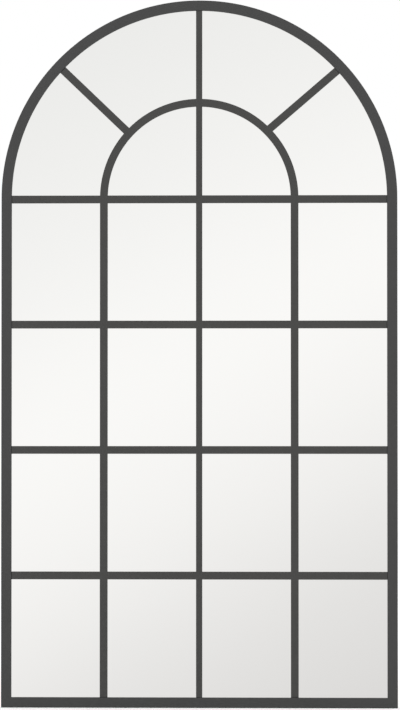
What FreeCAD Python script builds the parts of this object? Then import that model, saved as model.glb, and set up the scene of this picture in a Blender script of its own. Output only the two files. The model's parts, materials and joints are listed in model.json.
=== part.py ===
import FreeCAD, Part
import math
import os

# Arched window mirror: a rebated steel tube frame with a half-round head, a grid of flat glazing bars
# over one sheet of mirror glass, and a backing board held in by turn buttons.
#
# Millimetres and degrees. +Z is up, +X is to the right of someone facing the mirror, and the mirror
# faces -Y. The origin is the middle of the bottom rail's underside, halfway through the frame's depth.

Vector = FreeCAD.Vector

# Outline of the whole mirror
overall_width = 770.0
spring_height = 990.0  # from the underside to the centre of the arch

# Frame tube: a closed box with a lip that covers the edge of the glass
face_width = 20.0
lip_overlap = 5.0
tube_wall = 1.2
tube_corner_cut = 1.0  # stands for the tube's rounded corners
lip_edge_cut = 0.5

# Glazing bars, flush with the frame's face
bar_width = 15.0
centre_bar_width = 12.0
bar_thickness = 3.0
bar_edge_chamfer = 0.4
spring_bar_drop = 2.5  # from the centre of the arch down to the middle of the spring bar
cross_bar_names = ("cross_bar_lower", "cross_bar_middle", "cross_bar_upper")

# Spokes: where each middle line meets the inner arch and the frame, as angles about the arch's centre
right_spoke_angles = (44.6, 42.6)
left_spoke_angles = (137.2, 136.7)

# Sheets behind the bars, and the room round them
glass_thickness = 3.0
foam_thickness = 1.0
board_thickness = 9.0
sheet_gap = 1.0
pad_thickness = 1.0
pad_length = 50.0
pad_place_share = 0.5  # of half the width

# Screws, their shanks and heads many-sided with corners on the round
shank_radius = 1.75
screw_length = 8.0
head_radius = 3.5
head_height = 2.0
screw_sides = 12
hole_gap = 0.1  # round the shank in the piece that it holds
thread_gap = 0.02  # round the shank in the tube's wall

# Turn buttons: flat strips with clipped corners
button_thickness = 1.5
button_edge_inset = 1.5  # from the tube's edges to the strip's
button_clip = 3.0  # cut off each corner, both ways
button_gap = 0.2  # between the button and what it turns against
button_bite = 18.0  # how far the strip reaches over the board
stile_button_shares = (0.22, 0.72)  # of the springline's height
rail_button_share = 0.52  # of half the width
arch_button_angles = (45.0, 90.0, 135.0)

# Hangers: a strap with a rolled eye, and a triangular ring of wire with six sides
ring_wire_radius = 1.25
wire_sides = 6
ring_play = 0.3  # round the wire in the eye
ring_side_gap = 0.25  # from the eye's ends to where the wire starts to bend
ring_bend_radius = 1.5
ring_foot_radius = 3.0
ring_leg_angle = 70.0  # between the ring's level bar and each leg
ring_edge_inset = 0.5  # from the frame's outer face to the ring
strap_width = 10.0
strap_thickness = 1.2
strap_corner_cut = 2.0
strap_hole_spacing = 14.0
strap_end_margin = 7.0
head_to_ring_gap = 3.0
hanger_drop = 50.0  # from the springline down to the ring's pivot

# Rubber bumpers on the bottom rail
bumper_height = 6.0
bumper_edge_inset = 1.5  # from the tube's edges to the bumper
bumper_end_inset = 22.0  # from the frame's outer face to the bumper's middle

# One overrun serves all cuts, and one overlap all the bars that butt against another
overrun = 2.0
end_overlap = 3.0

# Sizes that follow from those above
half_width = overall_width / 2
tube_width = face_width - lip_overlap
frame_depth = bar_thickness + glass_thickness + foam_thickness + board_thickness
front_y = -frame_depth / 2
glass_y = front_y + bar_thickness
foam_y = glass_y + glass_thickness
board_y = foam_y + foam_thickness
back_y = board_y + board_thickness
lap_y = front_y + bar_thickness / 2

window_radius = half_width - face_width
pane_width = (2 * window_radius - centre_bar_width - 2 * bar_width) / 4
side_bar_x = centre_bar_width / 2 + pane_width + bar_width / 2
spring_bar_z = spring_height - spring_bar_drop
spring_bar_top = spring_bar_z + bar_width / 2
pane_rows = len(cross_bar_names) + 1
row_pitch = (spring_bar_top - face_width) / pane_rows

sheet_inset = tube_width + sheet_gap
sheet_foot = tube_width + pad_thickness
button_width = tube_width - 2 * button_edge_inset
button_reach = tube_width / 2 + sheet_gap + button_bite
button_head_seat = back_y + button_gap + button_thickness + button_gap

eye_radius = ring_wire_radius + ring_play
ring_bar_half = strap_width / 2 + ring_side_gap
bend_trim = ring_bend_radius / math.tan(math.radians(ring_leg_angle / 2))
ring_corner_x = ring_bar_half + bend_trim
ring_corner_drop = ring_corner_x * math.tan(math.radians(ring_leg_angle))
ring_foot_rise = ring_foot_radius / math.cos(math.radians(ring_leg_angle)) - ring_foot_radius
ring_reach = ring_corner_drop - ring_foot_rise + ring_wire_radius
hanger_x = half_width - ring_edge_inset - ring_wire_radius - ring_bend_radius - ring_bar_half
pivot_y = back_y + strap_thickness + eye_radius
pivot_z = spring_height - hanger_drop
strap_screw_drop = ring_reach + head_to_ring_gap + head_radius
strap_screw_z = (pivot_z - strap_screw_drop, pivot_z - strap_screw_drop - strap_hole_spacing)

arch_centre = Vector(0, 0, spring_height)
towards_wall = Vector(0, 1, 0)


def point(x, z, y=0):
    """A point as seen from the front: across, up, and then how deep."""
    return Vector(x, y, z)


def polar(radius, angle, y=0):
    """A point at a radius and an angle about the centre of the arch."""
    turn = math.radians(angle)
    return point(radius * math.cos(turn), spring_height + radius * math.sin(turn), y)


def rounded_wire(corners):
    """A closed wire through corners given as (point, radius), each one rounded by its radius."""
    bends = []
    for index, (corner, radius) in enumerate(corners):
        back = (corners[index - 1][0] - corner).normalize()
        ahead = (corners[(index + 1) % len(corners)][0] - corner).normalize()
        half_angle = back.getAngle(ahead) / 2
        trim = radius / math.tan(half_angle)
        inward = (back + ahead).normalize()
        middle = corner + inward * (radius / math.sin(half_angle) - radius)
        bends.append((corner + back * trim, middle, corner + ahead * trim))
    edges = []
    for index, (start, middle, end) in enumerate(bends):
        edges.append(Part.LineSegment(bends[index - 1][2], start).toShape())
        edges.append(Part.Arc(start, middle, end).toShape())
    return Part.Wire(edges)


def polygon(corners):
    """A flat face through its corners."""
    return Part.Face(Part.makePolygon(corners + corners[:1]))


def clipped_polygon(corners):
    """A flat face through corners given as (point, cut), each one cut off by that much both ways."""
    outline = []
    for index, (corner, cut) in enumerate(corners):
        back = (corners[index - 1][0] - corner).normalize()
        ahead = (corners[(index + 1) % len(corners)][0] - corner).normalize()
        outline += [corner + back * cut, corner + ahead * cut] if cut > 0 else [corner]
    return polygon(outline)


def regular_corners(centre, across, along, radius, sides):
    """Corners on a circle in the plane of two directions, one flat side facing the first of them."""
    corners = []
    for corner in range(sides):
        turn = 2 * math.pi * (corner + 1 / 2) / sides
        corners.append(centre + across * (radius * math.cos(turn)) + along * (radius * math.sin(turn)))
    return corners


def plate(corners, front, back):
    """A flat outline of (x, z) corners carried from one depth to another."""
    return polygon([point(x, z, front) for x, z in corners]).extrude(towards_wall * (back - front))


def disc(radius, centre, front, back):
    """A round plug along the depth of the mirror."""
    start = Vector(centre.x, front, centre.z)
    return Part.makeCylinder(radius, back - front, start, towards_wall)


# Frame


def frame_section(corner, inward):
    """The tube's section with its lip, drawn inward from a point under the outer face."""

    def place(across, depth):
        return corner + inward * across + towards_wall * depth

    outside = clipped_polygon(
        [
            (place(0, front_y), tube_corner_cut),
            (place(face_width, front_y), lip_edge_cut),
            (place(face_width, glass_y), 0),
            (place(tube_width, glass_y), 0),
            (place(tube_width, back_y), tube_corner_cut),
            (place(0, back_y), tube_corner_cut),
        ]
    )
    cavity = polygon(
        [
            place(tube_wall, front_y + tube_wall),
            place(tube_width - tube_wall, front_y + tube_wall),
            place(tube_width - tube_wall, back_y - tube_wall),
            place(tube_wall, back_y - tube_wall),
        ]
    )
    return outside.cut(cavity)


def drilled(member, places):
    """A frame member with screw holes through its back wall."""
    for place in places:
        start = back_y - tube_wall - overrun
        member = member.cut(disc(shank_radius + thread_gap, place, start, back_y + overrun))
    return member


def frame_arch():
    """The half-round head, bent from one length of the tube."""
    section = frame_section(point(half_width, spring_height), Vector(-1, 0, 0))
    return section.revolve(arch_centre, -towards_wall, 180)


def frame_stile(side):
    """An upright length of the tube, mitred at its foot. side is -1 on the left and 1 on the right."""
    outer_x = side * half_width
    inner_x = side * window_radius
    section = frame_section(point(outer_x, 0), Vector(-side, 0, 0))
    outline = [(outer_x, 0), (inner_x, face_width), (inner_x, spring_height), (outer_x, spring_height)]
    return section.extrude(Vector(0, 0, spring_height)).common(plate(outline, front_y, back_y))


def frame_bottom_rail():
    """The level length of the tube at the foot, mitred at both ends."""
    section = frame_section(point(-half_width, 0), Vector(0, 0, 1))
    outline = [(-half_width, 0), (half_width, 0), (window_radius, face_width), (-window_radius, face_width)]
    return section.extrude(Vector(overall_width, 0, 0)).common(plate(outline, front_y, back_y))


# Glazing bars. Each blank is made for any depth, so it also cuts its half of a halving joint.


def window(front, back, foot=face_width, inset=face_width):
    """A sheet of the window's arched outline, set in from the frame's outer face."""
    side = half_width - inset
    left_foot, right_foot = point(-side, foot, front), point(side, foot, front)
    left_spring, right_spring = point(-side, spring_height, front), point(side, spring_height, front)
    edges = [
        Part.LineSegment(left_foot, right_foot).toShape(),
        Part.LineSegment(right_foot, right_spring).toShape(),
        Part.Arc(right_spring, polar(side, 90, front), left_spring).toShape(),
        Part.LineSegment(left_spring, left_foot).toShape(),
    ]
    return Part.Face(Part.Wire(edges)).extrude(towards_wall * (back - front))


def strip(x_range, z_range, front, back):
    """A straight flat bar between two places across and two heights."""
    (left, right), (low, high) = x_range, z_range
    return plate([(left, low), (right, low), (right, high), (left, high)], front, back)


def centre_bar(front, back):
    crown = spring_height + half_width
    across = (-centre_bar_width / 2, centre_bar_width / 2)
    return strip(across, (face_width, crown), front, back).common(window(front, back))


def side_bar(side, front, back):
    across = (side * side_bar_x - bar_width / 2, side * side_bar_x + bar_width / 2)
    return strip(across, (face_width, spring_bar_top), front, back)


def level_bar(middle_z, front, back):
    height = (middle_z - bar_width / 2, middle_z + bar_width / 2)
    return strip((-window_radius, window_radius), height, front, back)


def spring_bar(front, back):
    height = (spring_bar_z - bar_width / 2, spring_bar_top)
    return strip((-half_width, half_width), height, front, back).common(window(front, back))


def inner_arch_bar(front, back, overlap=0.0):
    """A half-round bar in line with the side bars, its feet on the spring bar or that much inside it."""
    outer = disc(side_bar_x + bar_width / 2, arch_centre, front, back)
    ring = outer.cut(disc(side_bar_x - bar_width / 2, arch_centre, front, back))
    height = (spring_bar_top - overlap, spring_height + half_width)
    return ring.common(strip((-half_width, half_width), height, front, back))


def spoke(angles, front, back, overlap=0.0):
    """A straight bar from the frame to the inner arch, or that much inside it, its ends cut round."""
    inner_angle, outer_angle = angles
    start = polar(side_bar_x, inner_angle, front)
    end = polar(half_width - face_width / 2, outer_angle, front)
    edge = (end - start).normalize().cross(towards_wall) * (bar_width / 2)
    bar = polygon([start + edge, end + edge, end - edge, start - edge])
    bar = bar.extrude(towards_wall * (back - front)).common(disc(window_radius, arch_centre, front, back))
    return bar.cut(disc(side_bar_x + bar_width / 2 - overlap, arch_centre, front, back))


def eased(bar):
    """A bar with a fine chamfer on the edges of its front face."""
    limit = front_y + bar_edge_chamfer
    front_edges = [edge for edge in bar.Edges if edge.BoundBox.YMax < limit]
    return bar.makeChamfer(bar_edge_chamfer, front_edges)


def glazing_bars():
    """All the bars by name, flush where they meet. Uprights stay whole in front where they cross."""
    uprights = {
        "centre_bar": centre_bar,
        "side_bar_left": lambda front, back: side_bar(-1, front, back),
        "side_bar_right": lambda front, back: side_bar(1, front, back),
    }
    crossing = {}
    for row, name in enumerate(cross_bar_names, start=1):
        middle_z = face_width + row * row_pitch - bar_width / 2
        crossing[name] = lambda front, back, middle_z=middle_z: level_bar(middle_z, front, back)
    crossing["spring_bar"] = spring_bar
    spoke_angles = {"spoke_left": left_spoke_angles, "spoke_right": right_spoke_angles}

    plain = [blank(front_y, glass_y) for blank in (uprights | crossing).values()]
    plain.append(inner_arch_bar(front_y, glass_y, end_overlap))
    plain += [spoke(angles, front_y, glass_y, end_overlap) for angles in spoke_angles.values()]
    first, *rest = [eased(bar) for bar in plain]
    lattice = first.multiFuse(rest)

    crossing["inner_arch_bar"] = inner_arch_bar
    bars = {}
    for own, others, lap_front, lap_back in (
        (uprights, crossing, lap_y, glass_y),
        (crossing, uprights, front_y, lap_y),
    ):
        for name, blank in own.items():
            bar = blank(front_y, glass_y).common(lattice)
            for other in others.values():
                bar = bar.cut(other(lap_front, lap_back))
            bars[name] = bar.removeSplitter()
    for name, angles in spoke_angles.items():
        bars[name] = spoke(angles, front_y, glass_y).common(lattice).removeSplitter()
    return bars


# Glass, board and what they stand on


def sheets():
    """The glass, the soft sheet and the board, one behind the other in the rebate."""
    layers = {
        "mirror_glass": (glass_y, foam_y),
        "foam_sheet": (foam_y, board_y),
        "backing_board": (board_y, back_y),
    }
    return {name: window(front, back, sheet_foot, sheet_inset) for name, (front, back) in layers.items()}


def setting_pads():
    """Two pads between the bottom rail and the sheets."""
    pads = []
    for side in (-1, 1):
        middle = side * pad_place_share * half_width
        across = (middle - pad_length / 2, middle + pad_length / 2)
        pads.append(strip(across, (tube_width, sheet_foot), glass_y, back_y))
    return Part.makeCompound(pads)


# Screws and turn buttons


def screw(place, seat_y):
    """A screw whose head sits at a depth."""

    def plug(radius, front, back):
        centre = Vector(place.x, front, place.z)
        corners = regular_corners(centre, Vector(1, 0, 0), Vector(0, 0, 1), radius, screw_sides)
        return polygon(corners).extrude(towards_wall * (back - front))

    shank = plug(shank_radius, seat_y - screw_length, seat_y)
    return shank.fuse(plug(head_radius, seat_y, seat_y + head_height))


def turn_button(place, inward):
    """A flat strip that turns on its screw, its tip over the board."""
    edge = inward.cross(towards_wall) * (button_width / 2)
    pivot = Vector(place.x, back_y + button_gap, place.z)
    root = pivot - inward * (button_width / 2)
    tip = pivot + inward * button_reach
    outline = [root + edge, tip + edge, tip - edge, root - edge]
    strip_face = clipped_polygon([(corner, button_clip) for corner in outline])
    blank = strip_face.extrude(towards_wall * button_thickness)
    return blank.cut(disc(shank_radius + hole_gap, place, back_y - overrun, back_y + frame_depth))


def stile_buttons(side, side_name):
    """Places and directions of the buttons on one stile."""
    x = side * (half_width - tube_width / 2)
    names = ("lower", "upper")
    return {
        f"turn_button_{side_name}_{name}": (point(x, share * spring_height), Vector(-side, 0, 0))
        for name, share in zip(names, stile_button_shares)
    }


def rail_buttons():
    """Places and directions of the buttons on the bottom rail."""
    return {
        f"turn_button_bottom_{name}": (
            point(side * rail_button_share * half_width, tube_width / 2),
            Vector(0, 0, 1),
        )
        for name, side in (("left", -1), ("right", 1))
    }


def arch_buttons():
    """Places and directions of the buttons on the arch."""
    buttons = {}
    for name, angle in zip(("right", "crown", "left"), arch_button_angles):
        place = polar(half_width - tube_width / 2, angle)
        buttons[f"turn_button_arch_{name}"] = (place, (arch_centre - place).normalize())
    return buttons


# Hangers and bumpers


def hanger_strap(side):
    """A strap on the back of a stile, rolled into an eye at its top."""
    x = side * hanger_x
    left, right = x - strap_width / 2, x + strap_width / 2
    low = strap_screw_z[-1] - strap_end_margin
    outline = clipped_polygon(
        [
            (point(left, low, back_y), strap_corner_cut),
            (point(right, low, back_y), strap_corner_cut),
            (point(right, pivot_z, back_y), 0),
            (point(left, pivot_z, back_y), 0),
        ]
    )
    sheet = outline.extrude(towards_wall * strap_thickness)
    for z in strap_screw_z:
        hole = disc(shank_radius + hole_gap, point(x, z), back_y - overrun, back_y + frame_depth)
        sheet = sheet.cut(hole)
    eye_start = Vector(left, pivot_y, pivot_z)
    eye_axis = Vector(1, 0, 0)
    roll = Part.makeCylinder(eye_radius + strap_thickness, strap_width, eye_start, eye_axis)
    bore = Part.makeCylinder(eye_radius, strap_width, eye_start, eye_axis)
    return sheet.fuse(roll).cut(bore).removeSplitter()


def hanger_ring(side):
    """A closed triangle of wire through the eye, hanging straight down."""
    x = side * hanger_x
    path = rounded_wire(
        [
            (point(x - ring_corner_x, pivot_z, pivot_y), ring_bend_radius),
            (point(x + ring_corner_x, pivot_z, pivot_y), ring_bend_radius),
            (point(x, pivot_z - ring_corner_drop, pivot_y), ring_foot_radius),
        ]
    )
    first = path.OrderedEdges[0]
    start = first.valueAt(first.FirstParameter)
    across = first.tangentAt(first.FirstParameter).cross(towards_wall)
    section = regular_corners(start, across, towards_wall, ring_wire_radius, wire_sides)
    return path.makePipeShell([Part.makePolygon(section + section[:1])], True, False)


def hanger_screw_places(side):
    """Where one strap's screws go."""
    return [point(side * hanger_x, z) for z in strap_screw_z]


def wall_bumper(side):
    """A round rubber foot on the bottom rail, flat where it meets the wall."""
    centre = point(side * (half_width - bumper_end_inset), tube_width / 2)
    return disc(tube_width / 2 - bumper_edge_inset, centre, back_y, back_y + bumper_height)


# The whole mirror

sides = (("left", -1), ("right", 1))
members = {"frame_arch": frame_arch(), "frame_bottom_rail": frame_bottom_rail()}
buttons = {"frame_arch": arch_buttons(), "frame_bottom_rail": rail_buttons()}
strap_places = {}
for side_name, side in sides:
    stile_name = f"frame_stile_{side_name}"
    members[stile_name] = frame_stile(side)
    buttons[stile_name] = stile_buttons(side, side_name)
    strap_places[stile_name] = hanger_screw_places(side)

parts = {}
button_screws = []
hanger_screws = []
for member_name, member in members.items():
    button_places = [place for place, inward in buttons[member_name].values()]
    hanger_places = strap_places.get(member_name, [])
    parts[member_name] = drilled(member, button_places + hanger_places)
    button_screws += [screw(place, button_head_seat) for place in button_places]
    hanger_screws += [screw(place, back_y + strap_thickness) for place in hanger_places]
    for button_name, (place, inward) in buttons[member_name].items():
        parts[button_name] = turn_button(place, inward)

parts.update(glazing_bars())
parts.update(sheets())
parts["setting_pads"] = setting_pads()
parts["button_screws"] = Part.makeCompound(button_screws)
parts["hanger_screws"] = Part.makeCompound(hanger_screws)
for side_name, side in sides:
    parts[f"hanger_strap_{side_name}"] = hanger_strap(side)
    parts[f"hanger_ring_{side_name}"] = hanger_ring(side)
    parts[f"wall_bumper_{side_name}"] = wall_bumper(side)

os.makedirs("parts", exist_ok=True)
for name, shape in parts.items():
    shape.exportStep(f"parts/{name}.step")
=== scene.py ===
import json
import math

import bmesh
import bpy
from bpy.props import FloatProperty, FloatVectorProperty, PointerProperty
from mathutils import Matrix, Vector


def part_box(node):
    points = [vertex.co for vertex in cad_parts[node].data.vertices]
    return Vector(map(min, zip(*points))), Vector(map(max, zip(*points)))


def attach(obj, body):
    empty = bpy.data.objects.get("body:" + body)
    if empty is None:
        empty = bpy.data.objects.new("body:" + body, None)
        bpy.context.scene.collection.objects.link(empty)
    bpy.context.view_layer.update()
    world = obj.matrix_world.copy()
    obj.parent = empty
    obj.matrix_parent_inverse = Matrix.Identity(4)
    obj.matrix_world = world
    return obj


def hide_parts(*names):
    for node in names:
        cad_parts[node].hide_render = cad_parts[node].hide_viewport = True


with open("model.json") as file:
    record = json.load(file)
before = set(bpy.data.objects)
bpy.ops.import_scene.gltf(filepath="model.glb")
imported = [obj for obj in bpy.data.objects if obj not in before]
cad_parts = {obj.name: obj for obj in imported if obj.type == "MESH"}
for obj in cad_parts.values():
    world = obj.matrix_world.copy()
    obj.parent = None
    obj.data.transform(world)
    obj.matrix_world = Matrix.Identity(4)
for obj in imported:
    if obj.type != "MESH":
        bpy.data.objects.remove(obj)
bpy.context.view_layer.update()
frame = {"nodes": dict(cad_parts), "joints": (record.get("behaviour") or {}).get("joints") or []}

bl_info = {
    "name": "Arched Window Mirror",
    "version": (1, 0, 0),
    "blender": (4, 5, 0),
    "location": "View3D > Sidebar > Mirror",
    "description": "Dresses an arched window mirror: frame, glazing bars, glass, board and hangers",
    "category": "Add Mesh",
}

MM = 0.001
ACROSS, TO_WALL, UP = Vector((1, 0, 0)), Vector((0, 1, 0)), Vector((0, 0, 1))

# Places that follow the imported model
rail_low, rail_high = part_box("frame_bottom_rail")
HALF_WIDTH = rail_high.x
FACE_WIDTH = rail_high.z
FRAME_FRONT = rail_low.y
FRAME_BACK = rail_high.y
TUBE_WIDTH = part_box("setting_pads")[0].z
GLASS_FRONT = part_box("mirror_glass")[0].y
SPRING_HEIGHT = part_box("frame_arch")[0].z
ARCH_CENTRE = Vector((0, 0, SPRING_HEIGHT))

SIDES = ("left", "right")
TURN_BUTTONS = tuple(sorted(name for name in frame["nodes"] if name.startswith("turn_button_")))
UPRIGHT_BUTTON = "turn_button_arch_crown"
FRAME_PIECES = ("frame_arch", "frame_stile_left", "frame_stile_right", "frame_bottom_rail")
BARS_TO_FRAME = (
    "centre_bar",
    "side_bar_left",
    "side_bar_right",
    "spring_bar",
    "cross_bar_upper",
    "cross_bar_middle",
    "cross_bar_lower",
    "spoke_left",
    "spoke_right",
)

# How near points are before they are made one, and how near a point is to a plane that it lies on
MERGE_DISTANCE = 0.002 * MM
MITRE_MERGE_DISTANCE = 0.05 * MM  # after the half turn, two loops at the left foot lie a little apart
PLANE_DISTANCE = 0.0001 * MM

# How many flat runs stand for a round shape
ARCH_RUNS = 120
TUBE_CORNER_RUNS = 5
MITRE_RUNS = 3
SHEET_CORNER_RUNS = 6
SOFT_EDGE_RUNS = 2
HOLE_RUNS = 28
SCREW_RUNS = 24
EYE_RUNS = 22
WIRE_RUNS = 14
RING_CORNER_RUNS = 8
RING_FOOT_RUNS = 12
BUMPER_RUNS = 40
FLOOR_RUNS = 96

# Degrees between two faces, up to which they are shaded as one surface
SMOOTH_ANGLE = 32.0
FRAME_SMOOTH_ANGLE = 40.0
SCREW_SMOOTH_ANGLE = 30.0
WIRE_SMOOTH_ANGLE = 60.0

# Degrees between two faces, past which the edge of a stamped plate or a strap is softened
PLATE_EDGE_ANGLE = 40.0
STRAP_EDGE_ANGLE = 50.0
STRAP_EDGE_SHARE = 0.2  # of the sheet's thickness

# An edge at the foot belongs to the outer mitre within this share of the corner's rounding
MITRE_SHARE = 0.9

# Depths below a bar's face, within which a corner lies on the face, and at the back of its chamfer
FRONT_CORNER_DEPTH = 0.1 * MM
CHAMFER_CORNER_DEPTH = 1.0 * MM

# A pan head from its seat to its flat top, in shares of its radius and of its height
PAN_HEAD = ((1.0, 0.0), (1.0, 0.35), (0.95, 0.6), (0.82, 0.85), (0.62, 1.0), (0.558, 1.0))
TIP_SHARE = 0.05  # of the shank's radius
RECESS_FLOOR_SHARE = 0.55  # of the recess's mouth
FIRST_SCREW_TURN, NEXT_SCREW_TURN = 11.0, 37.0  # degrees

# A bumper's rounded edge: what is left of the taper where it starts, and its middle in shares of its
# radius, in from the side and down from the end
TAPER_LEFT = 0.1
EDGE_MIDDLE_IN, EDGE_MIDDLE_DOWN = 0.2, 0.35
DIMPLE_FLOOR_SHARE = 0.6  # of the dimple's mouth


# Settings


def length(name, description, millimetres):
    """A length that the sidebar shows in the scene's units."""
    return FloatProperty(
        name=name, description=description, default=millimetres * MM, min=0.0, unit="LENGTH",
        precision=5,
    )


def angle(name, description, degrees):
    """An angle that the sidebar shows in degrees."""
    return FloatProperty(
        name=name, description=description, default=math.radians(degrees), subtype="ANGLE"
    )


def power(name, description, watts):
    """The power of a lamp."""
    return FloatProperty(name=name, description=description, default=watts, unit="POWER")


def share(name, description, part):
    """A part of a whole, from 0 to 1."""
    return FloatProperty(
        name=name, description=description, default=part, min=0.0, max=1.0, subtype="FACTOR"
    )


def colour(name, description, red, green, blue):
    """A plain colour of a finish, in scene-linear values."""
    return FloatVectorProperty(
        name=name, description=description, default=(red, green, blue), size=3, min=0.0, max=1.0,
        subtype="COLOR",
    )


class FrameSizes(bpy.types.PropertyGroup):
    face_width: length("Face", "Width of the frame's face", FACE_WIDTH / MM)
    tube_width: length("Tube", "Width of the tube behind the lip", TUBE_WIDTH / MM)
    corner_radius: length("Corner", "Rounding of the tube's corners", 1.4)
    lip_radius: length("Lip Edge", "Rounding of the lip's edge beside the glass", 0.6)
    mitre_softness: length("Mitre", "How far the ground mitres at the foot are rounded", 0.6)


class BarSizes(bpy.types.PropertyGroup):
    end_reach: length("End Reach", "How far from the frame a corner still counts as a bar's end", 0.6)
    groove_width: length("Groove Width", "How much more is ground off a bar's face at its end", 0.7)
    groove_depth: length("Groove Depth", "How much deeper the bar's end is ground", 1.2)
    groove_run: length("Groove Run", "Length of the ground part", 2.0)


class ScrewSizes(bpy.types.PropertyGroup):
    shank_radius: length("Shank", "Radius of the shank", 1.75)
    shank_length: length("Length", "Length of the shank under the head", 8.0)
    head_radius: length("Head", "Radius of the pan head", 3.5)
    head_height: length("Head Height", "Height of the pan head", 2.0)
    recess_reach: length("Recess Reach", "From the middle to the end of a recess arm", 1.75)
    recess_half_width: length("Recess Arm", "Half the width of a recess arm", 0.42)
    recess_depth: length("Recess Depth", "Depth of the cross recess", 1.2)


class ButtonSizes(bpy.types.PropertyGroup):
    corner_radius: length("Corner", "Rounding of the turn button's corners", 4.2)
    hole_radius: length("Hole", "Radius of the screw hole", 1.85)
    edge_radius: length("Edge", "Softness of the stamped edges", 0.25)


class HangerSizes(bpy.types.PropertyGroup):
    wire_radius: length("Wire", "Radius of the ring's wire", 1.25)
    bar_half: length("Ring Bar", "Half the length of the ring's level bar", 5.25)
    bend_radius: length("Ring Bend", "Bend at the ends of the level bar", 1.5)
    foot_radius: length("Ring Foot", "Bend at the ring's lowest point", 3.0)
    leg_angle: angle("Ring Leg", "Angle between the level bar and a leg", 70.0)
    strap_thickness: length("Strap", "Thickness of the strap's sheet", 1.2)
    strap_corner: length("Strap Corner", "Rounding of the strap's low corners", 3.0)
    eye_turn: angle("Eye Roll", "How far the sheet is rolled round the wire", 318.0)


class BumperSizes(bpy.types.PropertyGroup):
    taper: length("Taper", "How much narrower the bumper is at the wall", 0.9)
    edge_radius: length("Edge", "Rounding at the wall end", 0.8)
    dimple_radius: length("Dimple", "Radius of the moulded dimple", 1.6)
    dimple_depth: length("Dimple Depth", "Depth of the moulded dimple", 0.7)


class FinishColours(bpy.types.PropertyGroup):
    frame_coat: colour("Frame Coat", "Charcoal powder coat of the frame", 0.0574, 0.0572, 0.0568)
    bar_coat: colour("Bar Coat", "Charcoal powder coat of the glazing bars", 0.0592, 0.0586, 0.0562)
    silver: colour("Silver", "Tint of the silvered glass", 0.970, 0.970, 0.970)
    board: colour("Board", "Bare fibreboard", 0.430, 0.290, 0.168)
    foam: colour("Foam", "White foam sheet", 0.800, 0.800, 0.780)
    zinc: colour("Zinc", "Bright zinc plate", 0.640, 0.650, 0.670)
    rubber: colour("Rubber", "Matt black rubber", 0.022, 0.022, 0.023)


class StudioSettings(bpy.types.PropertyGroup):
    camera_distance: length("Camera Distance", "From the frame's face to the camera", 6000.0)
    camera_turn: angle("Camera Turn", "How far the camera stands to the right of straight on", 1.4)
    camera_lift: angle("Camera Lift", "How far the camera stands above straight on", -1.06)
    view_height: length("View Height", "Height of the picture at the frame's face", 1379.3)
    aim_across: length("Aim Across", "Sideways aim of the camera", 1.7)
    aim_up: length("Aim Up", "Height of the camera's aim", 684.45)
    band_lean: angle("Band Lean", "How far the pale band in the glass leans over", 62.0)
    far_level: share("Side Level", "How bright the room beside the pale band is", 0.55)
    key_power: power("Key", "Power of the key lamp", 38.0)
    fill_power: power("Fill", "Power of the fill lamp", 22.0)
    back_power: power("Back", "Power of the back lamp", 34.0)
    ambient: share("Ambient", "Level of the light from all round", 0.82)
    floor_colour: colour("Floor", "Pale matt floor", 0.89, 0.89, 0.89)
    floor_lift: share("Floor Lift", "How much lighter the floor is to the camera", 0.27)


class MirrorSettings(bpy.types.PropertyGroup):
    frame: PointerProperty(type=FrameSizes)
    bars: PointerProperty(type=BarSizes)
    screws: PointerProperty(type=ScrewSizes)
    buttons: PointerProperty(type=ButtonSizes)
    hangers: PointerProperty(type=HangerSizes)
    bumpers: PointerProperty(type=BumperSizes)
    colours: PointerProperty(type=FinishColours)
    studio: PointerProperty(type=StudioSettings)


def settings():
    """The sizes and colours that the sidebar shows."""
    return bpy.context.scene.window_mirror


# Finishes


def feed(tree, node, inputs):
    """Fills a shader node's inputs with values, or with other nodes' sockets."""
    for name, value in inputs.items():
        if isinstance(value, bpy.types.NodeSocket):
            tree.links.new(value, node.inputs[name])
        else:
            node.inputs[name].default_value = value


def add_node(tree, kind, inputs=None, **choices):
    """A new shader node with its choices made and its inputs filled."""
    node = tree.nodes.new(kind)
    for name, value in choices.items():
        setattr(node, name, value)
    feed(tree, node, inputs or {})
    return node


def math_node(tree, operation, *values):
    """The result of one sum in a shader."""
    return add_node(tree, "ShaderNodeMath", dict(enumerate(values)), operation=operation).outputs[0]


def noise(tree, place, swells, detail=2.0, roughness=0.5):
    """A grey noise with so many swells to the metre, mostly between 0.3 and 0.7."""
    inputs = {"Vector": place, "Scale": swells, "Detail": detail, "Roughness": roughness}
    return add_node(tree, "ShaderNodeTexNoise", inputs).outputs["Fac"]


def cells(tree, place, rows):
    """How far a point is from the middle of its cell, with so many rows of cells to the metre."""
    return add_node(tree, "ShaderNodeTexVoronoi", {"Vector": place, "Scale": rows}).outputs["Distance"]


def level(tree, value, levels, span=(0.3, 0.7), curve="LINEAR"):
    """A value that runs between two levels over its span."""
    inputs = {
        "Value": value,
        "From Min": span[0],
        "From Max": span[1],
        "To Min": levels[0],
        "To Max": levels[1],
    }
    return add_node(tree, "ShaderNodeMapRange", inputs, interpolation_type=curve).outputs["Result"]


def swell(tree, value, levels, span):
    """A value that starts and ends slowly between two levels over its span."""
    return level(tree, value, levels, span, "SMOOTHSTEP")


def shade(tree, tint, strength):
    """A colour made lighter and darker by a strength about 1."""
    inputs = {"Scale": strength, 0: tint}
    return add_node(tree, "ShaderNodeVectorMath", inputs, operation="SCALE").outputs[0]


def relief(tree, height, depth, strength):
    """A surface that is uneven by a depth in metres where the height goes from 0 to 1."""
    inputs = {"Height": height, "Distance": depth, "Strength": strength}
    return add_node(tree, "ShaderNodeBump", inputs).outputs["Normal"]


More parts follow.
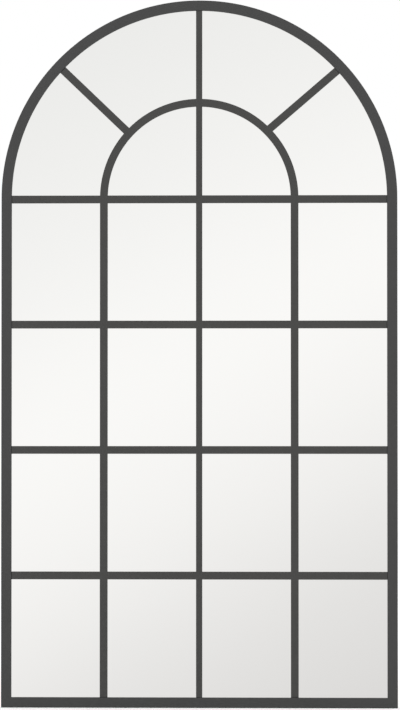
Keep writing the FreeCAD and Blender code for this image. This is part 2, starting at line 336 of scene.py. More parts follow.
def powder_coat(tree, place, tint):
    """Satin powder coat: fine orange peel, faint drifts in tone and sheen."""
    drift = level(tree, noise(tree, place, swells=5.0, detail=3.0), (0.97, 1.03))
    grain = level(tree, noise(tree, place, swells=420.0), (0.96, 1.04))
    sheen = noise(tree, place, swells=60.0, detail=3.0)
    peel = noise(tree, place, swells=650.0, detail=1.0)
    return {
        "Base Color": shade(tree, tint, math_node(tree, "MULTIPLY", drift, grain)),
        "Roughness": level(tree, sheen, (0.40, 0.52)),
        "Specular IOR Level": 0.3,
        "Normal": relief(tree, peel, depth=0.10 * MM, strength=0.7),
    }


def silvered_glass(tree, place, tint):
    """Clear glass over silver: a true mirror with the faintest uneven polish."""
    cloud = level(tree, noise(tree, place, swells=3.0), (0.997, 1.0))
    polish = noise(tree, place, swells=14.0)
    return {
        "Base Color": shade(tree, tint, cloud),
        "Roughness": level(tree, polish, (0.004, 0.012)),
        "Metallic": 1.0,
    }


def bare_board(tree, place, tint):
    """Fibreboard: broad pressed clouds, fine fibres and dark specks."""
    cloud_levels = (0.965, 1.035)
    clouds = noise(tree, place, swells=14.0, detail=6.0, roughness=0.65)
    clouds = level(tree, clouds, cloud_levels)
    fibres = noise(tree, place, swells=700.0, detail=4.0, roughness=0.7)
    fibres = level(tree, fibres, (0.86, 1.12))
    specks = level(tree, cells(tree, place, rows=260.0), (0.78, 1.0), span=(0.02, 0.16))
    tone = math_node(tree, "MULTIPLY", math_node(tree, "MULTIPLY", clouds, fibres), specks)
    return {
        "Base Color": shade(tree, tint, tone),
        "Roughness": level(tree, clouds, (0.68, 0.82), span=cloud_levels),
        "Specular IOR Level": 0.2,
        "Normal": relief(tree, fibres, depth=0.05 * MM, strength=0.6),
    }


def foam_skin(tree, place, tint):
    """Closed foam: small soft cells."""
    bubbles = cells(tree, place, rows=500.0)
    return {
        "Base Color": shade(tree, tint, level(tree, bubbles, (0.94, 1.0), span=(0.0, 0.6))),
        "Roughness": 0.75,
        "Specular IOR Level": 0.3,
        "Normal": relief(tree, bubbles, depth=0.2 * MM, strength=1.0),
    }


def zinc_plate(tree, place, tint):
    """Bright zinc: cool metal with small changes of sheen and a few duller patches."""
    patches = noise(tree, place, swells=120.0, detail=4.0, roughness=0.6)
    grain = noise(tree, place, swells=1500.0)
    return {
        "Base Color": shade(tree, tint, level(tree, patches, (0.86, 1.06))),
        "Roughness": level(tree, patches, (0.40, 0.24)),
        "Metallic": 1.0,
        "Normal": relief(tree, grain, depth=0.01 * MM, strength=0.4),
    }


def matt_rubber(tree, place, tint):
    """Moulded rubber: fine matt grain."""
    grain = noise(tree, place, swells=900.0, detail=3.0)
    return {
        "Base Color": shade(tree, tint, level(tree, grain, (0.85, 1.15))),
        "Roughness": level(tree, grain, (0.62, 0.74)),
        "Specular IOR Level": 0.35,
        "Normal": relief(tree, grain, depth=0.03 * MM, strength=0.6),
    }


# Each finish by the name of its colour setting: its material's name and what makes its surface
FINISHES = {
    "frame_coat": ("frame_coat", powder_coat),
    "bar_coat": ("bar_coat", powder_coat),
    "silver": ("silvered_glass", silvered_glass),
    "board": ("bare_board", bare_board),
    "foam": ("foam_skin", foam_skin),
    "zinc": ("zinc_plate", zinc_plate),
    "rubber": ("matt_rubber", matt_rubber),
}
made_finishes = {}


def finish_for(name):
    """The material of a finish, made the first time it is asked for."""
    if name not in made_finishes:
        title, surface_of = FINISHES[name]
        finish = bpy.data.materials.new(title)
        finish.use_nodes = True
        tree = finish.node_tree
        place = add_node(tree, "ShaderNodeTexCoord").outputs["Object"]
        tint = getattr(settings().colours, name)
        feed(tree, tree.nodes["Principled BSDF"], surface_of(tree, place, tint))
        made_finishes[name] = finish
    return made_finishes[name]


def finish_node(node_name, finish_name):
    """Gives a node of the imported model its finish."""
    slots = frame["nodes"][node_name].data.materials
    slots.clear()
    slots.append(finish_for(finish_name))


# Shaping


def node_middle(name):
    """The middle of a node's box."""
    low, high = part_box(name)
    return (low + high) / 2


def joint_place(body):
    """Where the joint of a moving body turns."""
    joint = next(joint for joint in frame["joints"] if joint["child"] == body)
    return Vector(joint["pos_m"])


def add_piece(name, bm, body, finish_name, replaced, smooth_angle=SMOOTH_ANGLE):
    """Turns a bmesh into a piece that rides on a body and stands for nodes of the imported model."""
    bmesh.ops.remove_doubles(bm, verts=bm.verts, dist=MERGE_DISTANCE)
    bmesh.ops.recalc_face_normals(bm, faces=bm.faces)
    mesh = bpy.data.meshes.new(name)
    bm.to_mesh(mesh)
    bm.free()
    if smooth_angle:
        mesh.polygons.foreach_set("use_smooth", [True] * len(mesh.polygons))
        mesh.set_sharp_from_angle(angle=math.radians(smooth_angle))
    mesh.materials.append(finish_for(finish_name))
    piece = bpy.data.objects.new(name, mesh)
    bpy.context.scene.collection.objects.link(piece)
    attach(piece, body)
    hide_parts(*replaced)
    return piece


def soften_edges(piece, width, least_angle, harden=False):
    """Rounds the edges of a piece that are sharper than an angle in degrees."""
    rounding = piece.modifiers.new("soft_edges", "BEVEL")
    rounding.width = width
    rounding.segments = SOFT_EDGE_RUNS
    rounding.limit_method = "ANGLE"
    rounding.angle_limit = math.radians(least_angle)
    rounding.harden_normals = harden


def verts_of(edges):
    """The vertices of some edges, each one once and always in the same order."""
    return list(dict.fromkeys(vert for edge in edges for vert in edge.verts))


def fresh(geometry, kind):
    """The vertices, edges or faces among what a bmesh operator has made."""
    return [item for item in geometry if isinstance(item, kind)]


def run(bm, edges, travel):
    """Carries a loop of edges straight on, and gives the loop at its end."""
    made = bmesh.ops.extrude_edge_only(bm, edges=edges)["geom"]
    bmesh.ops.translate(bm, verts=fresh(made, bmesh.types.BMVert), vec=travel)
    return fresh(made, bmesh.types.BMEdge)


def bend(bm, edges, centre, axis, turn, steps):
    """Carries a loop of edges round a bend, and gives the loop at its end."""
    geometry = verts_of(edges) + edges
    made = bmesh.ops.spin(bm, geom=geometry, cent=centre, axis=axis, angle=turn, steps=steps)
    return fresh(made["geom_last"], bmesh.types.BMEdge)


def turned(bm, outline, centre, steps):
    """Turns radii and heights once round a line to the wall, and gives the rings that stay open."""
    verts = [bm.verts.new(centre + ACROSS * radius + TO_WALL * height) for radius, height in outline]
    edges = [bm.edges.new(pair) for pair in zip(verts, verts[1:])]
    bmesh.ops.spin(
        bm, geom=verts + edges, cent=centre, axis=TO_WALL, angle=2 * math.pi, steps=steps,
        use_merge=True,
    )
    return [edge for edge in bm.edges if edge.is_boundary]


def round_corners(bm, corners, radius, segments):
    """Rounds corners of a flat face."""
    bmesh.ops.bevel(
        bm, geom=corners, offset=radius, offset_type="OFFSET", affect="VERTICES", segments=segments,
        profile=0.5, material=-1,
    )


def drop_face(bm):
    """Takes the one face away, and gives the loop of edges that it leaves."""
    outline = list(bm.edges)
    bmesh.ops.delete(bm, geom=list(bm.faces), context="FACES_ONLY")
    return outline


class FRAME_OT_weld(bpy.types.Operator):
    """Sweep the frame's rounded section round the arch, the stiles and the rail as one welded piece"""

    bl_idname = "window_mirror.weld_frame"
    bl_label = "Weld Frame"

    def execute(self, context):
        sizes = settings().frame
        bm = bmesh.new()
        right_spring = self.draw_section(bm, sizes)
        left_spring = bend(bm, right_spring, ARCH_CENTRE, TO_WALL, -math.pi, ARCH_RUNS)
        right_foot = run(bm, right_spring, Vector())
        left_foot = run(bm, left_spring, Vector())
        for vert in verts_of(right_foot + left_foot):
            vert.co.z = HALF_WIDTH - abs(vert.co.x)
        rail_end = run(bm, right_foot, Vector())
        for vert in verts_of(rail_end):
            vert.co.x = -vert.co.x
        bmesh.ops.remove_doubles(bm, verts=bm.verts, dist=MITRE_MERGE_DISTANCE)
        self.soften_mitres(bm, sizes)
        add_piece(
            "welded_frame", bm, "mirror", "frame_coat", FRAME_PIECES, FRAME_SMOOTH_ANGLE
        )
        return {"FINISHED"}

    def draw_section(self, bm, sizes):
        """Draws the tube with its lip at the right springing, its corners rounded."""
        face_x, tube_x = HALF_WIDTH - sizes.face_width, HALF_WIDTH - sizes.tube_width
        corners = (
            (HALF_WIDTH, FRAME_FRONT, sizes.corner_radius),
            (face_x, FRAME_FRONT, sizes.lip_radius),
            (face_x, GLASS_FRONT, 0.0),
            (tube_x, GLASS_FRONT, 0.0),
            (tube_x, FRAME_BACK, sizes.corner_radius),
            (HALF_WIDTH, FRAME_BACK, sizes.corner_radius),
        )
        section = bm.faces.new([bm.verts.new((x, y, SPRING_HEIGHT)) for x, y, radius in corners])
        rounded = [(vert, radius) for vert, (x, y, radius) in zip(section.verts, corners) if radius]
        for vert, radius in rounded:
            round_corners(bm, [vert], radius, TUBE_CORNER_RUNS)
        return drop_face(bm)

    def soften_mitres(self, bm, sizes):
        """Rounds the mitres at the frame's two outer corners."""
        reach = sizes.corner_radius * MITRE_SHARE
        mitres = [
            edge for edge in bm.edges
            if all(vert.co.z < reach and abs(vert.co.x) > HALF_WIDTH - reach for vert in edge.verts)
        ]
        if not mitres:
            raise RuntimeError("The frame has no mitres at its foot")
        bmesh.ops.bevel(
            bm, geom=mitres, offset=sizes.mitre_softness, affect="EDGES", segments=MITRE_RUNS,
            profile=0.5, material=-1,
        )


def short_of_frame(point):
    """How far a point of a glazing bar is from the inner edge of the frame's face."""
    face = settings().frame.face_width
    opening = HALF_WIDTH - face
    if point.z > SPRING_HEIGHT:
        return opening - math.hypot(point.x, point.z - SPRING_HEIGHT)
    return min(opening - abs(point.x), point.z - face)


class BARS_OT_weld(bpy.types.Operator):
    """Weld in the glazing bars: their ends are ground back to a narrow groove beside the frame"""

    bl_idname = "window_mirror.weld_bars"
    bl_label = "Weld Glazing Bars"

    def execute(self, context):
        sizes = settings().bars
        finish_node("inner_arch_bar", "bar_coat")
        for name in BARS_TO_FRAME:
            bm = bmesh.new()
            bm.from_mesh(frame["nodes"][name].data)
            bmesh.ops.remove_doubles(bm, verts=bm.verts, dist=MERGE_DISTANCE)
            middle = node_middle(name)
            ends = {}
            for vert in bm.verts:
                if short_of_frame(vert.co) < sizes.end_reach:
                    ends.setdefault((vert.co - middle).dot(ACROSS + UP) > 0, []).append(vert)
            if not ends:
                raise RuntimeError(f"{name} doesn't reach the frame")
            for corners in ends.values():
                self.grind(bm, corners, middle, sizes)
            add_piece(
                "welded_" + name, bm, "mirror", "bar_coat", [name], smooth_angle=None
            )
        return {"FINISHED"}

    def grind(self, bm, corners, middle, sizes):
        """Grinds a groove into one end of a bar, given the end's corners."""
        tip = sum((vert.co for vert in corners), Vector()) / len(corners)
        outward = Vector((tip.x - middle.x, 0, tip.z - middle.z)).normalized()
        bmesh.ops.bisect_plane(
            bm, geom=[*bm.verts, *bm.edges, *bm.faces], dist=PLANE_DISTANCE, plane_no=outward,
            plane_co=tip - outward * sizes.groove_run,
        )
        for vert in corners:
            if vert.co.y < FRAME_FRONT + FRONT_CORNER_DEPTH:
                vert.co -= outward * sizes.groove_width
            elif vert.co.y < FRAME_FRONT + CHAMFER_CORNER_DEPTH:
                vert.co.y += sizes.groove_depth


class GLASS_OT_silver(bpy.types.Operator):
    """Silver the sheet of mirror glass"""

    bl_idname = "window_mirror.silver_glass"
    bl_label = "Silver Glass"

    def execute(self, context):
        finish_node("mirror_glass", "silver")
        return {"FINISHED"}


class BACKING_OT_finish(bpy.types.Operator):
    """Finish the foam sheet, the backing board and the setting pads"""

    bl_idname = "window_mirror.finish_backing"
    bl_label = "Finish Backing"

    def execute(self, context):
        finish_node("foam_sheet", "foam")
        finish_node("backing_board", "board")
        finish_node("setting_pads", "rubber")
        return {"FINISHED"}


class BUTTONS_OT_stamp(bpy.types.Operator):
    """Stamp the turn buttons that hold the board in"""

    bl_idname = "window_mirror.stamp_turn_buttons"
    bl_label = "Stamp Turn Buttons"

    def execute(self, context):
        sizes = settings().buttons
        crown_low, crown_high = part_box(UPRIGHT_BUTTON)
        crown_pivot = joint_place(UPRIGHT_BUTTON + "_body")
        inner_end, outer_end = crown_pivot.z - crown_low.z, crown_pivot.z - crown_high.z
        half_width = crown_high.x
        corners = (
            (outer_end, -half_width), (inner_end, -half_width),
            (inner_end, half_width), (outer_end, half_width),
        )
        for name in TURN_BUTTONS:
            body = name + "_body"
            low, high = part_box(name)
            pivot = joint_place(body)
            inward = node_middle(name) - pivot
            inward.y = 0
            inward.normalize()
            across = inward.cross(TO_WALL)
            bm = bmesh.new()
            blank = bm.faces.new(
                [bm.verts.new(inward * along + across * aside) for along, aside in corners]
            )
            round_corners(bm, list(blank.verts), sizes.corner_radius, SHEET_CORNER_RUNS)
            self.punch(bm, sizes.hole_radius)
            back = bmesh.ops.extrude_face_region(bm, geom=list(bm.faces))["geom"]
            bmesh.ops.translate(
                bm, verts=fresh(back, bmesh.types.BMVert), vec=TO_WALL * (high.y - low.y)
            )
            bmesh.ops.translate(bm, verts=bm.verts, vec=Vector((pivot.x, low.y, pivot.z)))
            plate = add_piece(
                name.replace("turn_button", "turn_plate"), bm, body, "zinc", [name]
            )
            soften_edges(plate, sizes.edge_radius, PLATE_EDGE_ANGLE, harden=True)
        return {"FINISHED"}

    def punch(self, bm, radius):
        """Punches the screw hole through the blank, at the origin."""
        outline = drop_face(bm)
        upright = Matrix.Rotation(math.pi / 2, 4, "X")
        ring = bmesh.ops.create_circle(bm, segments=HOLE_RUNS, radius=radius, matrix=upright)["verts"]
        hole = list(dict.fromkeys(edge for vert in ring for edge in vert.link_edges))
        bmesh.ops.bridge_loops(bm, edges=outline + hole)


def add_screw(bm, seat, turn):
    """A pan-head screw with a cross recess, its head's underside on a seat and turned by an angle."""
    sizes = settings().screws
    shank, neck = sizes.shank_radius, sizes.shank_length - sizes.shank_radius
    outline = [(shank * TIP_SHARE, -sizes.shank_length), (shank, -neck), (shank, 0.0)]
    outline += [(sizes.head_radius * out, sizes.head_height * rise) for out, rise in PAN_HEAD]
    screw = bmesh.new()
    rings = turned(screw, outline, Vector(), SCREW_RUNS)
    top = [edge for edge in rings if edge.verts[0].co.y > 0]
    tip = [edge for edge in rings if edge.verts[0].co.y < 0]
    bmesh.ops.contextual_create(screw, geom=tip)
    reach, arm = sizes.recess_reach, sizes.recess_half_width
    cross = []
    for quarter in range(4):
        quarter_turn = Matrix.Rotation(quarter * math.pi / 2, 4, "Y")
        for x, z in ((arm, arm), (reach, arm), (reach, -arm)):
            cross.append(screw.verts.new(quarter_turn @ Vector((x, sizes.head_height, z))))
    recess = [screw.edges.new((cross[i - 1], cross[i])) for i in range(len(cross))]
    bmesh.ops.triangle_fill(screw, edges=top + recess, use_beauty=True)
    floor = run(screw, recess, TO_WALL * -sizes.recess_depth)
    narrowing = (RECESS_FLOOR_SHARE, 1.0, RECESS_FLOOR_SHARE)
    bmesh.ops.scale(screw, verts=verts_of(floor), vec=narrowing)
    bmesh.ops.contextual_create(screw, geom=floor)
    place = Matrix.Translation(seat) @ Matrix.Rotation(turn, 4, "Y")
    bmesh.ops.transform(screw, matrix=place, verts=screw.verts)
    mesh = bpy.data.meshes.new("screw")
    screw.to_mesh(mesh)
    screw.free()
    bm.from_mesh(mesh)
    bpy.data.meshes.remove(mesh)


def button_screw_seats():
    """Where the turn buttons' screws sit: on the buttons' pivots."""
    seat_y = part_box("button_screws")[1].y - settings().screws.head_height
    pivots = [joint_place(name + "_body") for name in TURN_BUTTONS]
    return [Vector((pivot.x, seat_y, pivot.z)) for pivot in pivots]


def strap_screw_seats():
    """Where the hanger screws sit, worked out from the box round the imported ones."""
    sizes = settings().screws
    low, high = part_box("hanger_screws")
    x = high.x - sizes.head_radius
    return [
        Vector((side * x, high.y - sizes.head_height, z))
        for side in (-1, 1)
        for z in (low.z + sizes.head_radius, high.z - sizes.head_radius)
    ]


class SCREWS_OT_drive(bpy.types.Operator):
    """Drive the pan-head screws of the turn buttons and the hangers"""

    bl_idname = "window_mirror.drive_screws"
    bl_label = "Drive Screws"

    def execute(self, context):
        groups = (("button_screws", button_screw_seats()), ("hanger_screws", strap_screw_seats()))
        for node, seats in groups:
            bm = bmesh.new()
            for count, seat in enumerate(seats):
                add_screw(bm, seat, math.radians(NEXT_SCREW_TURN * count + FIRST_SCREW_TURN))
            add_piece(
                node.replace("screws", "pan_head_screws"), bm, "mirror", "zinc", [node],
                SCREW_SMOOTH_ANGLE,
            )
        return {"FINISHED"}


class STRAPS_OT_roll(bpy.types.Operator):
    """Roll the hanger straps from sheet, each with an eye at its top"""

    bl_idname = "window_mirror.roll_straps"
    bl_label = "Roll Hanger Straps"

    def execute(self, context):
        sizes = settings().hangers
        for side in SIDES:
            node = f"hanger_strap_{side}"
            low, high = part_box(node)
            pivot = joint_place(f"hanger_ring_{side}_body")
            sheet_y = low.y + sizes.strap_thickness / 2
            bm = bmesh.new()
            corners = ((low.x, low.z), (high.x, low.z), (high.x, pivot.z), (low.x, pivot.z))
            sheet = bm.faces.new([bm.verts.new((x, sheet_y, z)) for x, z in corners])
            feet = [vert for vert in sheet.verts if vert.co.z < pivot.z]
            round_corners(bm, feet, sizes.strap_corner, SHEET_CORNER_RUNS)
            top = [edge for edge in bm.edges if all(vert.co.z > pivot.z - MM for vert in edge.verts)]
            bend(bm, top, pivot, ACROSS, -sizes.eye_turn, EYE_RUNS)
            strap = add_piece(
                node.replace("hanger_strap", "rolled_strap"), bm, "mirror", "zinc", [node]
            )
            wall = strap.modifiers.new("sheet", "SOLIDIFY")
            wall.thickness = sizes.strap_thickness
            wall.offset = 0.0
            soften_edges(strap, sizes.strap_thickness * STRAP_EDGE_SHARE, STRAP_EDGE_ANGLE)
        return {"FINISHED"}


class RINGS_OT_bend(bpy.types.Operator):
    """Bend the hanger rings from round wire"""

    bl_idname = "window_mirror.bend_rings"
    bl_label = "Bend Hanger Rings"

    def execute(self, context):
        sizes = settings().hangers
        leg = sizes.leg_angle
        bend_trim = sizes.bend_radius / math.tan(leg / 2)
        foot_trim = sizes.foot_radius * math.tan(leg)
        corner_x = sizes.bar_half + bend_trim
        leg_run = corner_x / math.cos(leg) - bend_trim - foot_trim
        foot_drop = corner_x * math.tan(leg) - sizes.foot_radius / math.cos(leg)
        down = Vector((-math.cos(leg), 0, -math.sin(leg)))
        up = Vector((-math.cos(leg), 0, math.sin(leg)))
        end_x, drop = ACROSS * sizes.bar_half, UP * sizes.bend_radius
        for side in SIDES:
            node = f"hanger_ring_{side}"
            body = node + "_body"
            pivot = joint_place(body)
            level_wire = Matrix.Translation(pivot) @ Matrix.Rotation(math.pi / 2, 4, "Y")
            bm = bmesh.new()
            bmesh.ops.create_circle(bm, segments=WIRE_RUNS, radius=sizes.wire_radius, matrix=level_wire)
            loop = list(bm.edges)
            loop = run(bm, loop, end_x)
            loop = bend(bm, loop, pivot + end_x - drop, TO_WALL, math.pi - leg, RING_CORNER_RUNS)
            loop = run(bm, loop, down * leg_run)
            loop = bend(bm, loop, pivot - UP * foot_drop, TO_WALL, 2 * leg, RING_FOOT_RUNS)
            loop = run(bm, loop, up * leg_run)
            loop = bend(bm, loop, pivot - end_x - drop, TO_WALL, math.pi - leg, RING_CORNER_RUNS)
            run(bm, loop, end_x)
            add_piece(
                node.replace("hanger_ring", "wire_ring"), bm, body, "zinc", [node],
                WIRE_SMOOTH_ANGLE,
            )
        return {"FINISHED"}


class BUMPERS_OT_mould(bpy.types.Operator):
    """Mould the rubber bumpers that keep the foot off the wall"""

    bl_idname = "window_mirror.mould_bumpers"
    bl_label = "Mould Bumpers"

    def execute(self, context):
        sizes = settings().bumpers
        edge, dimple = sizes.edge_radius, sizes.dimple_radius
        for side in SIDES:
            node = f"wall_bumper_{side}"
            low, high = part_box(node)
            radius, height = (high.x - low.x) / 2, high.y - low.y
            wall_radius = radius - sizes.taper
            outline = (
                (0.0, 0.0),
                (radius, 0.0),
                (wall_radius + sizes.taper * TAPER_LEFT, height - edge),
                (wall_radius - edge * EDGE_MIDDLE_IN, height - edge * EDGE_MIDDLE_DOWN),
                (wall_radius - edge, height),
                (dimple, height),
                (dimple * DIMPLE_FLOOR_SHARE, height - sizes.dimple_depth),
                (0.0, height - sizes.dimple_depth),
            )
            seat = node_middle(node)
            seat.y = low.y
            bm = bmesh.new()
            turned(bm, outline, seat, BUMPER_RUNS)
            add_piece(
                node.replace("wall_bumper", "moulded_bumper"), bm, "mirror", "rubber", [node]
            )
        return {"FINISHED"}


# Studio

WHITE = (1.0, 1.0, 1.0, 1.0)

# The room that the glass reflects is laid out by how far a ray goes aside and up for each metre that it
# goes ahead. A ray counts as going ahead by at least this share of its length
LEAST_AHEAD = 0.2

# The pale band from upper left to lower right: its levels, how far across it the picture's middle is,
# and how much of it half the picture's height takes up
BAND_LEVELS = (0.865, 0.926, 0.967, 0.851, 0.724)
BAND_MIDDLE, BAND_PART = 0.458, 0.493
BAND_BLUE = 0.982  # of its green
BAND_WARMING = 0.003  # more red at each next level

# The soft bands that take the pale one's place further off, and where both grow dimmer
SIDE_BAND_SHIFT, SIDE_BAND_WIDTH = 0.03, 0.11
SIDE_BAND_LEVELS = (0.52, 0.97)
SIDE_BAND_SPAN = (0.16, 0.40)
DIMMING_SPAN = (0.3, 2.0)

# The room behind the mirror, by a ray's height, and how far back a ray goes before it is seen there
BEHIND_LEVELS, BEHIND_HEIGHTS = (0.40, 0.95), (-0.5, 0.9)
BEHIND_SPAN = (-0.25, 0.15)

FLOOR_RADIUS = 60.0  # metres
FLOOR_DRIFTS = 2.0  # swells to the metre
FLOOR_LEVELS = (0.995, 1.0)

# Each lamp's name, its place in metres and the setting that holds its power
LAMPS = (
    ("key_lamp", (-3.2, -3.6, 3.6), "key_power"),
    ("fill_lamp", (3.6, -3.0, 2.4), "fill_power"),
    ("back_lamp", (1.6, 3.6, 3.2), "back_power"),
)
LAMP_SIZE = 2.4  # metres across
LAMP_AIM = Vector((0, 0, 0.7))

SENSOR_WIDTH = 36.0  # millimetres
FARTHEST_SEEN = 100.0  # metres


def towards_camera():
    """The direction from the mirror to the camera, a little to its right and below its middle."""
    studio = settings().studio
    tilted = Matrix.Rotation(-studio.camera_lift, 3, "X") @ -TO_WALL
    return Matrix.Rotation(studio.camera_turn, 3, "Z") @ tilted


def aim(thing, direction):
    """Turns a lamp or the camera to look in a direction."""
    thing.rotation_euler = direction.to_track_quat("-Z", "Y").to_euler()


def mix(tree, factor, first, second):
    """A colour between two others."""
    inputs = {"Factor": factor, "A": first, "B": second}
    return add_node(tree, "ShaderNodeMix", inputs, data_type="VECTOR").outputs["Result"]


def pale_band(tree, lean):
    """The band that the camera sees in the glass, by how far a ray goes across its lean."""
    studio = settings().studio
    half_picture = studio.view_height / 2 / studio.camera_distance
    along = math_node(tree, "MULTIPLY_ADD", lean, BAND_PART / half_picture, BAND_MIDDLE)
    ramp = add_node(tree, "ShaderNodeValToRGB", {"Fac": math_node(tree, "PINGPONG", along, 1.0)})
    ramp.color_ramp.interpolation = "CARDINAL"
    stops = ramp.color_ramp.elements
    while len(stops) < len(BAND_LEVELS):
        stops.new(1.0)
    for count, (stop, value) in enumerate(zip(stops, BAND_LEVELS)):
        stop.position = count / (len(BAND_LEVELS) - 1)
        stop.color = (value * (1.0 + BAND_WARMING * count), value, value * BAND_BLUE, 1.0)
    return ramp.outputs["Color"]


def side_bands(tree, lean):
    """The soft bands off to the sides, which fade in and out across the same lean."""
    shifted = math_node(tree, "ADD", lean, SIDE_BAND_SHIFT)
    folded = math_node(tree, "PINGPONG", shifted, SIDE_BAND_WIDTH)
    return swell(tree, folded, SIDE_BAND_LEVELS, (0.0, SIDE_BAND_WIDTH))


def reflected_room(tree, direction):
    """What the glass and the metal see: a pale band that leans over, dimmer well off to the sides."""
    studio = settings().studio
    way = add_node(tree, "ShaderNodeSeparateXYZ", {"Vector": direction}).outputs
    ahead = math_node(tree, "MAXIMUM", math_node(tree, "MULTIPLY", way["Y"], -1.0), LEAST_AHEAD)
    camera_way = towards_camera()
    rise = math_node(tree, "DIVIDE", way["Z"], ahead)
    rise = math_node(tree, "SUBTRACT", rise, camera_way.z / camera_way.y)
    aside = math_node(tree, "DIVIDE", way["X"], ahead)
    aside = math_node(tree, "SUBTRACT", aside, camera_way.x / camera_way.y)
    lean = math_node(
        tree, "SUBTRACT", math_node(tree, "MULTIPLY", aside, math.cos(studio.band_lean)),
        math_node(tree, "MULTIPLY", rise, math.sin(studio.band_lean)),
    )
    off_way = add_node(tree, "ShaderNodeCombineXYZ", {"X": aside, "Y": rise}).outputs[0]
    off_way = add_node(tree, "ShaderNodeVectorMath", {0: off_way}, operation="LENGTH").outputs["Value"]
    to_the_side = swell(tree, off_way, (0.0, 1.0), SIDE_BAND_SPAN)
    bands = mix(tree, to_the_side, pale_band(tree, lean), side_bands(tree, lean))
    front = shade(tree, bands, swell(tree, off_way, (1.0, studio.far_level), DIMMING_SPAN))
    behind = swell(tree, way["Z"], BEHIND_LEVELS, BEHIND_HEIGHTS)
    return mix(tree, swell(tree, way["Y"], (0.0, 1.0), BEHIND_SPAN), front, behind)


def backdrop(tree, light, strength=1.0):
    """Light of a colour that comes from all round."""
    return add_node(tree, "ShaderNodeBackground", {"Color": light, "Strength": strength}).outputs[0]


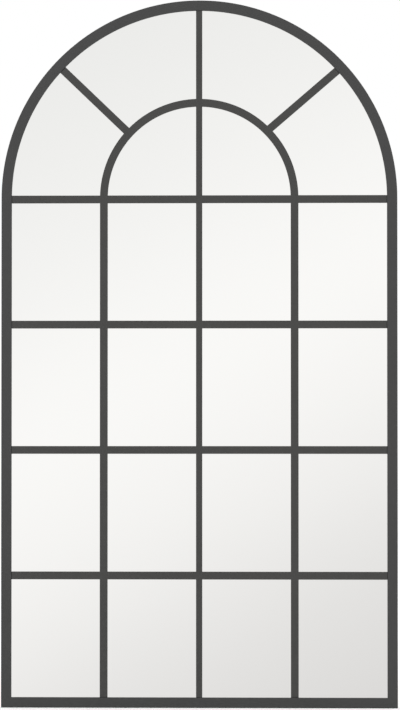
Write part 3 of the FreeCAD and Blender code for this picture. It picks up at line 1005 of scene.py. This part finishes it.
class STUDIO_OT_lay(bpy.types.Operator):
    """Lay out the pale floor, the soft lamps, the room that the glass reflects and the camera"""

    bl_idname = "window_mirror.lay_studio"
    bl_label = "Lay Out Studio"

    def execute(self, context):
        scene = context.scene
        studio = settings().studio
        scene.view_settings.view_transform = "Standard"
        self.light_room(scene, studio)
        self.lay_floor(scene, studio)
        self.hang_lamps(scene, studio)
        self.set_camera(scene, studio)
        return {"FINISHED"}

    def light_room(self, scene, studio):
        """White to the camera, the reflected room to glass and metal, and soft light to the rest."""
        world = bpy.data.worlds.new("plain_room")
        world.use_nodes = True
        scene.world = world
        tree = world.node_tree
        tree.nodes.clear()
        direction = add_node(tree, "ShaderNodeTexCoord").outputs["Generated"]
        ray = add_node(tree, "ShaderNodeLightPath").outputs
        white = backdrop(tree, WHITE)
        soft = backdrop(tree, WHITE, studio.ambient)
        room = backdrop(tree, reflected_room(tree, direction))
        mirrored = math_node(tree, "MAXIMUM", ray["Is Glossy Ray"], ray["Is Transmission Ray"])
        lit = add_node(tree, "ShaderNodeMixShader", {0: mirrored, 1: soft, 2: room}).outputs[0]
        whole = add_node(tree, "ShaderNodeMixShader", {0: ray["Is Camera Ray"], 1: lit, 2: white})
        add_node(tree, "ShaderNodeOutputWorld", {"Surface": whole.outputs[0]})

    def lay_floor(self, scene, studio):
        """A pale matt floor that the camera sees a little lighter, and the glass not at all."""
        finish = bpy.data.materials.new("pale_floor")
        finish.use_nodes = True
        tree = finish.node_tree
        tree.nodes.clear()
        place = add_node(tree, "ShaderNodeTexCoord").outputs["Object"]
        drifts = level(tree, noise(tree, place, swells=FLOOR_DRIFTS), FLOOR_LEVELS)
        pale = shade(tree, studio.floor_colour, drifts)
        matt = add_node(tree, "ShaderNodeBsdfDiffuse", {"Color": pale}).outputs[0]
        camera_ray = add_node(tree, "ShaderNodeLightPath").outputs["Is Camera Ray"]
        lift = math_node(tree, "MULTIPLY", camera_ray, studio.floor_lift)
        glow = add_node(tree, "ShaderNodeEmission", {"Strength": lift}).outputs[0]
        both = add_node(tree, "ShaderNodeAddShader", {0: matt, 1: glow})
        add_node(tree, "ShaderNodeOutputMaterial", {"Surface": both.outputs[0]})
        bm = bmesh.new()
        bmesh.ops.create_circle(bm, cap_ends=True, segments=FLOOR_RUNS, radius=FLOOR_RADIUS)
        mesh = bpy.data.meshes.new("floor")
        bm.to_mesh(mesh)
        bm.free()
        mesh.materials.append(finish)
        floor = bpy.data.objects.new("floor", mesh)
        floor.visible_glossy = False
        scene.collection.objects.link(floor)

    def hang_lamps(self, scene, studio):
        """Three large soft lamps that aim at the mirror's middle."""
        for name, place, power_setting in LAMPS:
            light = bpy.data.lights.new(name, "AREA")
            light.shape = "DISK"
            light.size = LAMP_SIZE
            light.energy = getattr(studio, power_setting)
            lamp = bpy.data.objects.new(name, light)
            lamp.location = place
            aim(lamp, LAMP_AIM - lamp.location)
            scene.collection.objects.link(lamp)

    def set_camera(self, scene, studio):
        """A camera nearly square on, as the photograph's was."""
        data = bpy.data.cameras.new("camera")
        data.sensor_width = SENSOR_WIDTH
        data.lens = SENSOR_WIDTH * studio.camera_distance / studio.view_height
        data.clip_end = FARTHEST_SEEN
        camera = bpy.data.objects.new("camera", data)
        target = Vector((studio.aim_across, FRAME_FRONT, studio.aim_up))
        camera.location = target + towards_camera() * studio.camera_distance
        aim(camera, -towards_camera())
        scene.collection.objects.link(camera)
        scene.camera = camera


# Sidebar

PIECE_OPERATORS = (
    FRAME_OT_weld,
    BARS_OT_weld,
    GLASS_OT_silver,
    BACKING_OT_finish,
    BUTTONS_OT_stamp,
    SCREWS_OT_drive,
    STRAPS_OT_roll,
    RINGS_OT_bend,
    BUMPERS_OT_mould,
)
SETTING_GROUPS = (
    FrameSizes,
    BarSizes,
    ScrewSizes,
    ButtonSizes,
    HangerSizes,
    BumperSizes,
    FinishColours,
    StudioSettings,
    MirrorSettings,
)


class MIRROR_PT_sidebar(bpy.types.Panel):
    """Lists the steps that dress the mirror, and their settings"""

    bl_label = "Arched Window Mirror"
    bl_space_type = "VIEW_3D"
    bl_region_type = "UI"
    bl_category = "Mirror"

    def draw(self, context):
        for step in (STUDIO_OT_lay, *PIECE_OPERATORS):
            self.layout.operator(step.bl_idname)
        for name in MirrorSettings.__annotations__:
            group = getattr(context.scene.window_mirror, name)
            box = self.layout.box()
            box.label(text=name.title())
            for setting in group.__annotations__:
                box.prop(group, setting)


CLASSES = (*SETTING_GROUPS, STUDIO_OT_lay, *PIECE_OPERATORS, MIRROR_PT_sidebar)


def register():
    for item in CLASSES:
        bpy.utils.register_class(item)
    bpy.types.Scene.window_mirror = PointerProperty(type=MirrorSettings)


def unregister():
    del bpy.types.Scene.window_mirror
    for item in reversed(CLASSES):
        bpy.utils.unregister_class(item)


def main():
    register()
    steps = bpy.ops.window_mirror
    steps.lay_studio()
    steps.weld_frame()
    steps.weld_bars()
    steps.silver_glass()
    steps.finish_backing()
    steps.stamp_turn_buttons()
    steps.drive_screws()
    steps.roll_straps()
    steps.bend_rings()
    steps.mould_bumpers()


if __name__ == "__main__":
    main()
